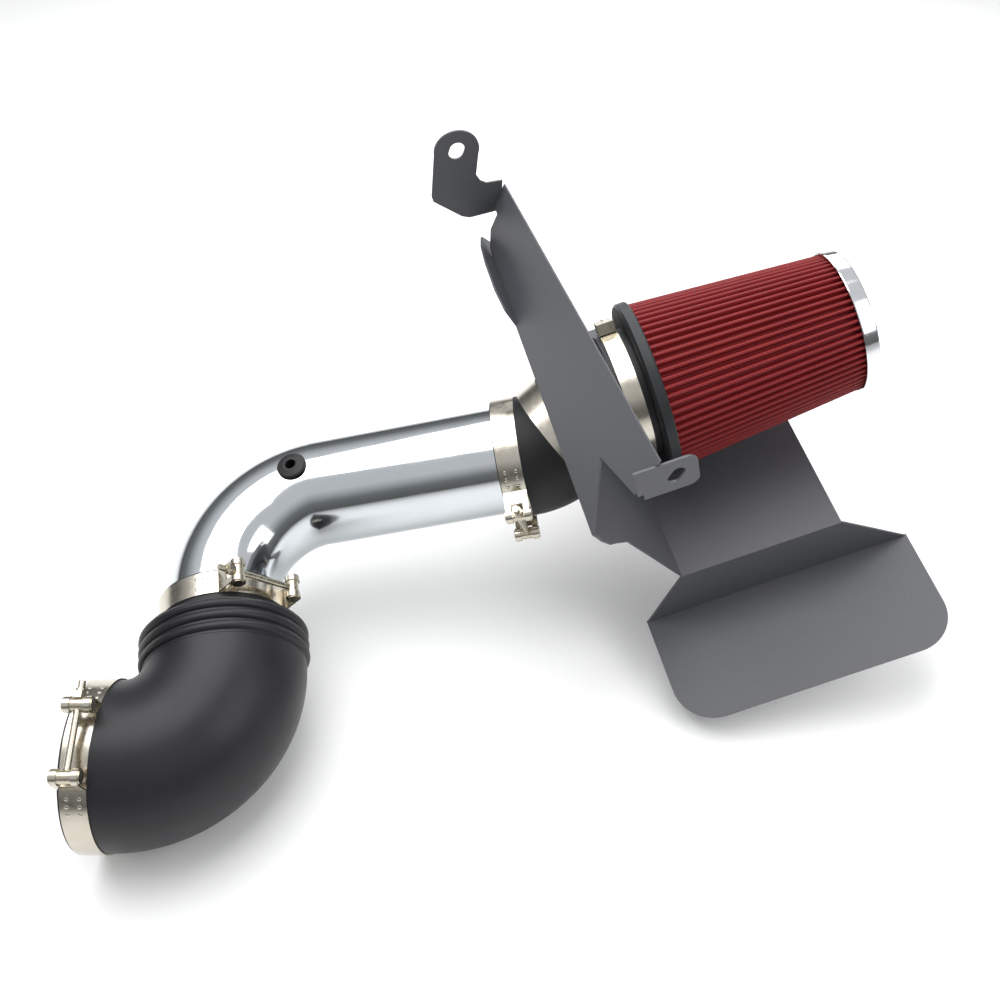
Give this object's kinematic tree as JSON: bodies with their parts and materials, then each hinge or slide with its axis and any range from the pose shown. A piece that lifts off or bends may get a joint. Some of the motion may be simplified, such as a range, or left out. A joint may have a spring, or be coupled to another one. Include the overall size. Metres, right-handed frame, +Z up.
{
  "type": "cold air intake pipe",
  "caption": "Bent aluminium intake tube with a rubber throttle elbow at one end and a pleated cone filter behind a folded sheet-metal heat shield at the other.",
  "frame": {"origin": "centre of the elbow's mouth, where it goes over the throttle body", "axes": "+X into the elbow along the mouth's axis, +Z up as the part lay in the picture, +Y from the elbow towards the tube's bend"},
  "size_m": [0.6664, 0.5104, 0.386],
  "materials": {
    "polished_aluminium": "polished",
    "black_rubber": "satin",
    "elbow_rubber": "satin",
    "hose_rubber": "matte",
    "adapter_aluminium": "polished",
    "powder_coat": "fine textured satin",
    "filter_urethane": "satin",
    "filter_media": "oiled cotton gauze under fine wire mesh",
    "chrome_cap": "polished",
    "clamp_hardware": "bright zinc",
    "clamp_band": "bright"
  },
  "bodies": {
    "root": {"intake_tube": "polished_aluminium", "sensor_grommet": "black_rubber", "throttle_elbow": "elbow_rubber", "hose_coupler": "hose_rubber", "adapter_tube": "adapter_aluminium", "heat_shield": "powder_coat", "hole_edging": "black_rubber", "filter_base": "filter_urethane", "filter_pleats": "filter_media", "filter_cap": "chrome_cap", "filter_band": "clamp_band", "filter_screw_housing": "clamp_hardware", "filter_screw": "clamp_hardware", "mouth_band": "clamp_band", "mouth_tbolt": "clamp_hardware", "mouth_barrel": "clamp_hardware", "mouth_nut": "clamp_hardware", "neck_band": "clamp_band", "neck_tbolt": "clamp_hardware", "neck_barrel": "clamp_hardware", "neck_nut": "clamp_hardware", "hose_band": "clamp_band", "hose_tbolt": "clamp_hardware", "hose_barrel": "clamp_hardware", "hose_nut": "clamp_hardware", "adapter_band": "clamp_band", "adapter_tbolt": "clamp_hardware", "adapter_barrel": "clamp_hardware", "adapter_nut": "clamp_hardware"}
  },
  "joints": []
}
